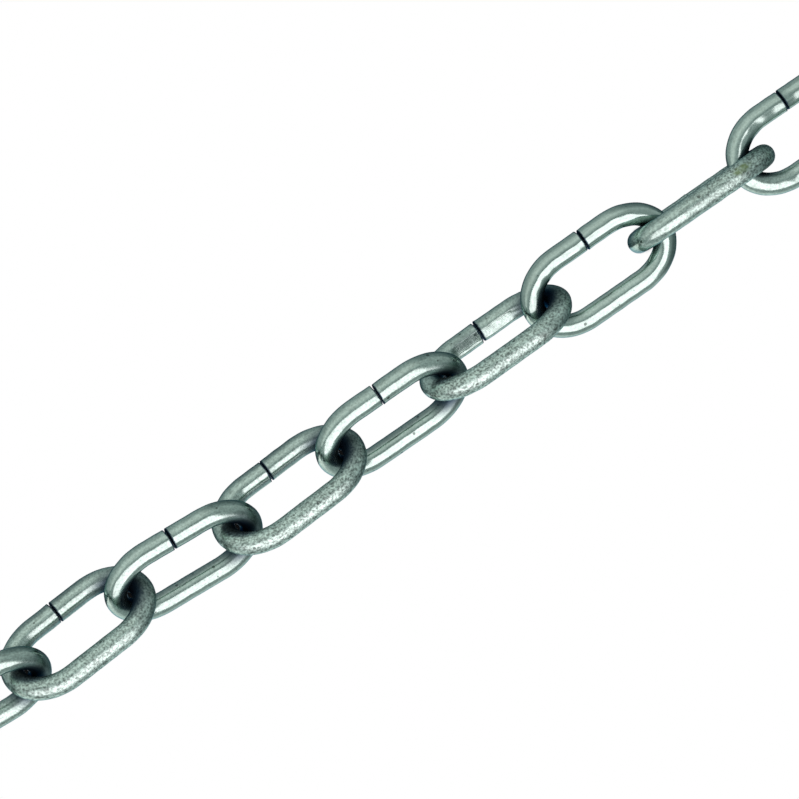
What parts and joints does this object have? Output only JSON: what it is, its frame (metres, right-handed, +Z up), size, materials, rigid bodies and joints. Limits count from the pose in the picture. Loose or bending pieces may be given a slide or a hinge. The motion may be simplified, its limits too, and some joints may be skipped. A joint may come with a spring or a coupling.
{
  "type": "length of steel link chain",
  "caption": "Straight run of open-link zinc-plated steel wire chain: long oval links bent from round wire, each closed by an unwelded butt joint, lying flat and free to fold link by link.",
  "frame": {"origin": "on the floor plane, under the middle of the chain's bounding box", "axes": "+X along the chain from link_01 to link_31, +Z up, +Y to the left of +X"},
  "size_m": [0.9758, 0.0228, 0.0228],
  "materials": {
    "zinc_plated_steel": "bright zinc plating, fine grain, semi-gloss"
  },
  "bodies": {
    "link_01": {"link_01": "zinc_plated_steel"},
    "link_02": {"link_02": "zinc_plated_steel"},
    "link_03": {"link_03": "zinc_plated_steel"},
    "link_04": {"link_04": "zinc_plated_steel"},
    "link_05": {"link_05": "zinc_plated_steel"},
    "link_06": {"link_06": "zinc_plated_steel"},
    "link_07": {"link_07": "zinc_plated_steel"},
    "link_08": {"link_08": "zinc_plated_steel"},
    "link_09": {"link_09": "zinc_plated_steel"},
    "link_10": {"link_10": "zinc_plated_steel"},
    "link_11": {"link_11": "zinc_plated_steel"},
    "link_12": {"link_12": "zinc_plated_steel"},
    "link_13": {"link_13": "zinc_plated_steel"},
    "link_14": {"link_14": "zinc_plated_steel"},
    "link_15": {"link_15": "zinc_plated_steel"},
    "link_16": {"link_16": "zinc_plated_steel"},
    "link_17": {"link_17": "zinc_plated_steel"},
    "link_18": {"link_18": "zinc_plated_steel"},
    "link_19": {"link_19": "zinc_plated_steel"},
    "link_20": {"link_20": "zinc_plated_steel"},
    "link_21": {"link_21": "zinc_plated_steel"},
    "link_22": {"link_22": "zinc_plated_steel"},
    "link_23": {"link_23": "zinc_plated_steel"},
    "link_24": {"link_24": "zinc_plated_steel"},
    "link_25": {"link_25": "zinc_plated_steel"},
    "link_26": {"link_26": "zinc_plated_steel"},
    "link_27": {"link_27": "zinc_plated_steel"},
    "link_28": {"link_28": "zinc_plated_steel"},
    "link_29": {"link_29": "zinc_plated_steel"},
    "link_30": {"link_30": "zinc_plated_steel"},
    "link_31": {"link_31": "zinc_plated_steel"}
  },
  "joints": [
    {"name": "swing_02", "type": "hinge", "parent": "link_01", "child": "link_02", "pos_m": [-0.44746, 0, 0.00887], "axis": [0, 0.7071, -0.7071], "range_deg": [-120, 120]},
    {"name": "swing_03", "type": "hinge", "parent": "link_02", "child": "link_03", "pos_m": [-0.41636, 0, 0.00887], "axis": [0, -0.7071, -0.7071], "range_deg": [-120, 120]},
    {"name": "swing_04", "type": "hinge", "parent": "link_03", "child": "link_04", "pos_m": [-0.38526, 0, 0.00887], "axis": [0, -0.7071, 0.7071], "range_deg": [-120, 120]},
    {"name": "swing_05", "type": "hinge", "parent": "link_04", "child": "link_05", "pos_m": [-0.35416, 0, 0.00887], "axis": [0, 0.7071, 0.7071], "range_deg": [-120, 120]},
    {"name": "swing_06", "type": "hinge", "parent": "link_05", "child": "link_06", "pos_m": [-0.32306, 0, 0.00887], "axis": [0, 0.7071, -0.7071], "range_deg": [-120, 120]},
    {"name": "swing_07", "type": "hinge", "parent": "link_06", "child": "link_07", "pos_m": [-0.29196, 0, 0.00887], "axis": [0, -0.7071, -0.7071], "range_deg": [-120, 120]},
    {"name": "swing_08", "type": "hinge", "parent": "link_07", "child": "link_08", "pos_m": [-0.26086, 0, 0.00887], "axis": [0, -0.7071, 0.7071], "range_deg": [-120, 120]},
    {"name": "swing_09", "type": "hinge", "parent": "link_08", "child": "link_09", "pos_m": [-0.22976, 0, 0.00887], "axis": [0, 0.7071, 0.7071], "range_deg": [-120, 120]},
    {"name": "swing_10", "type": "hinge", "parent": "link_09", "child": "link_10", "pos_m": [-0.19866, 0, 0.00887], "axis": [0, 0.7071, -0.7071], "range_deg": [-120, 120]},
    {"name": "swing_11", "type": "hinge", "parent": "link_10", "child": "link_11", "pos_m": [-0.16756, 0, 0.00887], "axis": [0.0431, -0.706, -0.7069], "range_deg": [-120, 120]},
    {"name": "swing_12", "type": "hinge", "parent": "link_11", "child": "link_12", "pos_m": [-0.13649, 0.00133, 0.00964], "axis": [-0.06, -0.7748, 0.6293], "range_deg": [-120, 120]},
    {"name": "swing_13", "type": "hinge", "parent": "link_12", "child": "link_13", "pos_m": [-0.10549, -0.00145, 0.00957], "axis": [-0.0076, 0.5303, 0.8478], "range_deg": [-120, 120]},
    {"name": "swing_14", "type": "hinge", "parent": "link_13", "child": "link_14", "pos_m": [-0.07444, 0.00068, 0.0087], "axis": [0.0469, 0.6931, -0.7193], "range_deg": [-120, 120]},
    {"name": "swing_15", "type": "hinge", "parent": "link_14", "child": "link_15", "pos_m": [-0.04342, -0.00182, 0.00878], "axis": [0.0246, -0.5873, -0.809], "range_deg": [-120, 120]},
    {"name": "swing_16", "type": "hinge", "parent": "link_15", "child": "link_16", "pos_m": [-0.01234, -0.00016, 0.00878], "axis": [-0.0384, -0.6945, 0.7184], "range_deg": [-120, 120]},
    {"name": "swing_17", "type": "hinge", "parent": "link_16", "child": "link_17", "pos_m": [0.01872, -0.00041, 0.01051], "axis": [-0.011, 0.8571, 0.515], "range_deg": [-120, 120]},
    {"name": "swing_18", "type": "hinge", "parent": "link_17", "child": "link_18", "pos_m": [0.04982, 0.00004, 0.01035], "axis": [0.033, 0.2588, -0.9654], "range_deg": [-120, 120]},
    {"name": "swing_19", "type": "hinge", "parent": "link_18", "child": "link_19", "pos_m": [0.0809, 0, 0.01152], "axis": [0, -0.9994, -0.0349], "range_deg": [-120, 120]},
    {"name": "swing_20", "type": "hinge", "parent": "link_19", "child": "link_20", "pos_m": [0.112, 0, 0.01141], "axis": [0.0103, -0.1392, 0.9902], "range_deg": [-120, 120]},
    {"name": "swing_21", "type": "hinge", "parent": "link_20", "child": "link_21", "pos_m": [0.1431, 0, 0.01105], "axis": [0, 0.9397, 0.342], "range_deg": [-120, 120]},
    {"name": "swing_22", "type": "hinge", "parent": "link_21", "child": "link_22", "pos_m": [0.1742, 0, 0.01108], "axis": [-0.04, 0.4695, -0.882], "range_deg": [-120, 120]},
    {"name": "swing_23", "type": "hinge", "parent": "link_22", "child": "link_23", "pos_m": [0.20527, 0, 0.00953], "axis": [0, -0.788, -0.6157], "range_deg": [-120, 120]},
    {"name": "swing_24", "type": "hinge", "parent": "link_23", "child": "link_24", "pos_m": [0.23637, 0, 0.00968], "axis": [0.0198, -0.6428, 0.7658], "range_deg": [-120, 120]},
    {"name": "swing_25", "type": "hinge", "parent": "link_24", "child": "link_25", "pos_m": [0.26746, 0, 0.00878], "axis": [0, 0.7071, 0.7071], "range_deg": [-120, 120]},
    {"name": "swing_26", "type": "hinge", "parent": "link_25", "child": "link_26", "pos_m": [0.29856, 0, 0.00887], "axis": [0, 0.7071, -0.7071], "range_deg": [-120, 120]},
    {"name": "swing_27", "type": "hinge", "parent": "link_26", "child": "link_27", "pos_m": [0.32966, 0, 0.00887], "axis": [0, -0.7071, -0.7071], "range_deg": [-120, 120]},
    {"name": "swing_28", "type": "hinge", "parent": "link_27", "child": "link_28", "pos_m": [0.36076, 0, 0.00887], "axis": [0, -0.7071, 0.7071], "range_deg": [-120, 120]},
    {"name": "swing_29", "type": "hinge", "parent": "link_28", "child": "link_29", "pos_m": [0.39186, 0, 0.00887], "axis": [0, 0.7071, 0.7071], "range_deg": [-120, 120]},
    {"name": "swing_30", "type": "hinge", "parent": "link_29", "child": "link_30", "pos_m": [0.42296, 0, 0.00887], "axis": [0, 0.7071, -0.7071], "range_deg": [-120, 120]},
    {"name": "swing_31", "type": "hinge", "parent": "link_30", "child": "link_31", "pos_m": [0.45406, 0, 0.00887], "axis": [0, -0.7071, -0.7071], "range_deg": [-120, 120]}
  ]
}
